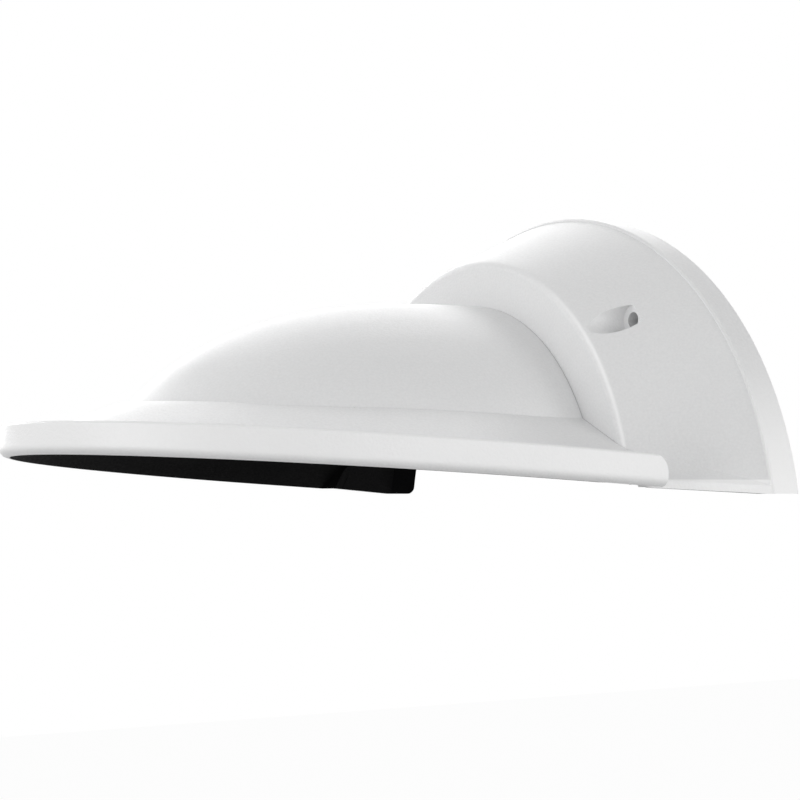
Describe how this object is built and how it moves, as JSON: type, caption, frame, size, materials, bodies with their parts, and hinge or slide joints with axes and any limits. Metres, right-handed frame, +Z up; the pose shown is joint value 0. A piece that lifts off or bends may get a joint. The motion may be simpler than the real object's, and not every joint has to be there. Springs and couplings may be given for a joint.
{
  "type": "camera sun shield",
  "caption": "Two-part white sun and rain shield with black liners for a dome camera on a wall: arched bracket and long hood with gutter lip.",
  "frame": {"origin": "midway between the two wall screw holes, on the wall plane", "axes": "+Z up, +Y into the wall, the hood's nose towards -Y"},
  "size_m": [0.2, 0.1835, 0.0857],
  "materials": {
    "white_shell": "fine-grained satin white",
    "black_liner": "matte black",
    "steel_screw": "stainless, satin",
    "brass_insert": "knurled brass"
  },
  "bodies": {
    "root": {"wall_bracket": "white_shell", "sun_hood": "white_shell", "hood_liner": "black_liner", "bracket_liner": "black_liner", "hood_screws": "steel_screw", "hood_inserts": "brass_insert"}
  },
  "joints": []
}
